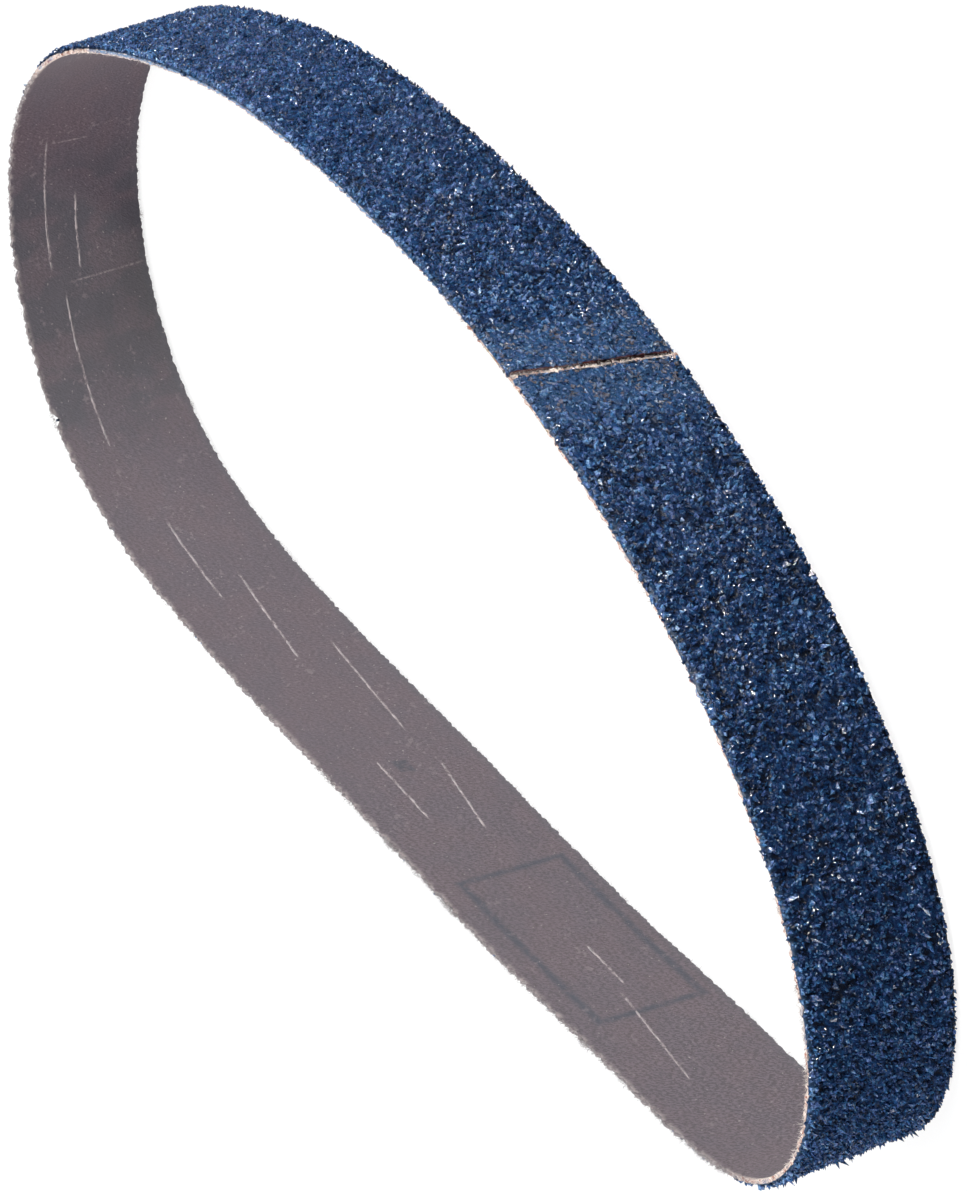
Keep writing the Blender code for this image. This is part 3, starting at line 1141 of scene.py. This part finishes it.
def edge_fray(chance):
    """Weft ends along both slit edges, thicker on the ground in some stretches.

    Each entry of FRAY is a stretch: where it starts and ends in metres, which edge it is on
    (1 is the upper one), how many fibres it has, and how long they are.
    """
    along = np.concatenate([chance.uniform(a, b, n) for a, b, _, n, _ in FRAY])
    upper = np.concatenate([np.full(n, edge) for _, _, edge, n, _ in FRAY]) == 1
    length = np.concatenate([size * np.exp(0.35 * chance.normal(size=n)) for *_, n, size in FRAY])
    count = len(along)
    out = chance.uniform(-0.5, 0.35, count) * CLOTH
    from_top = chance.uniform(0.00005, 0.00025, count)
    from_foot = chance.uniform(0.0001, 0.0003, count)
    root = np.stack([along, np.where(upper, WIDTH - from_top, from_foot), out], axis=1)
    sideways, rise = chance.normal(0, 0.6, count), np.where(upper, 1.0, -0.7)
    away = np.stack([sideways, rise, chance.normal(-0.1, 0.5, count)], axis=1)
    root, tip, sag, radius = grown(root, away, length, 0.16, (0.000014, 0.000030), chance)
    tip[:, 1] = np.clip(tip[:, 1], -0.00028, WIDTH + 0.00055)
    return root, tip, sag, radius


def seam_lint(chance):
    """Short cream fibres that stand out of the gap between the two cut ends."""
    up = chance.uniform(0.0001, WIDTH - 0.0001, LINT_COUNT)
    along = -chance.uniform(0.0000, 0.0005, LINT_COUNT)
    root = np.stack([along, up, chance.uniform(0.7, 1.0, LINT_COUNT) * CLOTH], axis=1)
    sideways, rise = chance.normal(-0.2, 0.7, LINT_COUNT), chance.normal(0, 0.6, LINT_COUNT)
    away = np.stack([sideways, rise, chance.uniform(0.2, 1, LINT_COUNT)], axis=1)
    length = LINT_LENGTH * np.exp(0.3 * chance.normal(size=LINT_COUNT))
    return grown(root, away, length, 0.2, (0.000022, 0.000046), chance)


def fibre_finish(name, dark, pale):
    """Matt cotton between two colours, with a tone that changes from place to place.

    Where the mesh has the attribute soiled, it is mixed with the grey of handled cloth.
    """
    cotton = Finish(name)
    spot = cotton.source("TexCoord")["Object"]
    base = mix(ramp(noise(spot, 900, 2), 0.35, 0.65), dark, pale)
    base = mix(cotton.attribute("soiled"), base, (142, 134, 138))
    return cotton.finished({"Base Color": base, "Roughness": 0.85, "Sheen Weight": 0.3})


fray_chance = np.random.default_rng(77)
points, faces = fibres(*edge_fray(fray_chance))
soiled = 0.85 * between(points[:, 0], 0.137, 0.404, 0.01, 0.01)
fray_look = fibre_finish("cut_yarn", (150, 136, 132), (226, 214, 204))
piece("edge_fray", in_room(points), faces, fray_look, "woven_cloth", soiled=soiled)
points, faces = fibres(*seam_lint(fray_chance))
piece("seam_lint", in_room(points), faces, fray_look, "woven_cloth")

# %% [markdown]
# ## The splice
#
# The ends of the strip are cut on a slant and butted. A line of crushed yarn fills the gap,
# and a thin tape on the inner side holds the ends together. The yarn line is a round section
# carried up the seam, with lumps; the tape is a flat closed section.

# %% Seam filling
SEAM_ROWS = 220
SEAM_MIDDLE = -0.00028
SEAM_REACH = 0.00034
SEAM_PROUD = 0.00027


def seam_yarn():
    """A lumpy round bead up the seam: its radius and middle wander with the height."""
    up = np.linspace(0.00003, WIDTH - 0.00003, SEAM_ROWS)[:, None]
    angle = -np.linspace(0, 2 * math.pi, 11)[None, :-1]
    lumps = 1 + 0.45 * np.random.default_rng(91).uniform(-1, 1, (SEAM_ROWS, 10))
    lumps = lumps * (1 + 0.42 * ripple(up, 0, 0.0005, 0.0018, 92) + 0.5 * ease(1 - up / 0.0014))
    middle = SEAM_MIDDLE + 0.00006 * ripple(up, 0, 0.002, 0.012, 93)
    along = middle + SEAM_REACH * lumps * np.cos(angle)
    out = 0.00034 + SEAM_PROUD * lumps * np.sin(angle)
    return np.stack(np.broadcast_arrays(along, up, out), axis=-1)


points, faces = carried(in_room(seam_yarn()))
faces = [part[:, ::-1] for part in faces]
seam_look = fibre_finish("seam_yarn", (156, 104, 80), (236, 218, 204))
piece("seam_yarn", points, faces, seam_look, "woven_cloth")

# %% Splice tape
FILM_REACH = 0.0088
FILM_THICKNESS = 0.00018
FILM_MARGIN = 0.0003
FILM_COLUMNS = 60
FILM_THREADS = 0.5


def splice_film():
    """A thin closed section across the seam on the inner side, just off the cloth's face."""
    along = np.linspace(-FILM_REACH, FILM_REACH, FILM_COLUMNS)[:, None]
    rise = np.linspace(FILM_MARGIN, WIDTH - FILM_MARGIN, 12)
    up = np.concatenate([rise[::-1], rise])[None, :]
    lift = 0.00002 * ripple(along, up, 0.002, 0.01, 51)
    inner = -CLOTH / 2 - FILM_THICKNESS + lift
    out = np.where(np.arange(24)[None, :] < 12, inner, -CLOTH / 2 + 0.00001)
    return np.stack(np.broadcast_arrays(along, up, out), axis=-1)


def film_finish():
    """Tan polyester film with a fine crossed thread pattern and a soft gloss."""
    film = Finish("tape_film")
    belt, along, up, _ = film.belt_place()
    crossed = (plus(along, up), maths("SUBTRACT", along, up))
    threads = [maths("SINE", times(way, 2 * math.pi / FILM_THREADS)) for way in crossed]
    grid = plus(times(maths("MAXIMUM", *threads), 0.5), noise(belt, 3.0, 3))
    return film.finished({
        "Base Color": mix(ramp(grid, 0.3, 1.1), (132, 112, 86), (170, 150, 118)),
        "Roughness": 0.38, "Normal": bump(grid, 0.00002),
    })


section = splice_film()
points, faces = carried(in_room(section))
tape = piece("splice_film", points, faces, film_finish(), "tape_film", belt=with_ends(section * 1000))
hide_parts("splice_tape")

# %% [markdown]
# ## Raised yarns on the inner face
#
# Here and there a warp yarn stands out of the cloth's inner face and its top is rubbed pale.
# Each is a low round section, half sunk in the cloth and carried along a straight line in belt
# coordinates. Its girth swells and shrinks on the way, so that it breaks into dashes.

# %% Raised yarns
YARN_STEP = 0.22
YARN_REACH = 0.13
YARN_PROUD = 0.045


def raised_yarns():
    """The closed section of each raised yarn at each of its columns, in belt coordinates."""
    sections = []
    for number, (start, low, end, high) in enumerate(RUBBED_YARNS):
        count = round((end - start) / YARN_STEP)
        share = np.linspace(0, 1, count)[:, None]
        uneven = np.random.default_rng(200 + number).uniform(-0.15, 0.15, (count, 1))
        beat = ripple(share * (end - start) * 0.001, 0, 0.0011, 0.006, 300 + number)
        girth = np.clip(0.65 + 0.55 * beat + uneven, 0.05, 1.2)
        girth = girth * ease(np.minimum(share, 1 - share) * 12)
        angle = np.linspace(0, 2 * math.pi, 9)[None, :-1]
        wander = 0.06 * ripple(share * 0.02, 0, 0.002, 0.01, 400 + number)
        up = low + (high - low) * share + wander + YARN_REACH * girth * np.cos(angle)
        out = -CLOTH * 500 + 0.03 - YARN_PROUD * girth * (1 + np.sin(angle))
        along = start + (end - start) * share + 0 * angle
        sections.append(np.stack([along, up, out], axis=-1) / 1000)
    return sections


yarn_points, yarn_faces, first = [], [], 0
for section in raised_yarns():
    points, faces = carried(in_room(section))
    yarn_points.append(points)
    yarn_faces += [part + first for part in faces]
    first += len(points)
yarn_look = fibre_finish("raised_yarn", (118, 107, 111), (166, 151, 152))
yarns = np.concatenate(yarn_points)
piece("raised_yarns", yarns, yarn_faces, yarn_look, "woven_cloth", smooth=True)

# %% Finish
VISUAL_BOX = [list(corner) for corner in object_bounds()]
growth = [[round(1000 * (v - c), 2) for v, c in zip(*pair)] for pair in zip(VISUAL_BOX, CAD_BOX)]
print("grown by, mm:", growth)
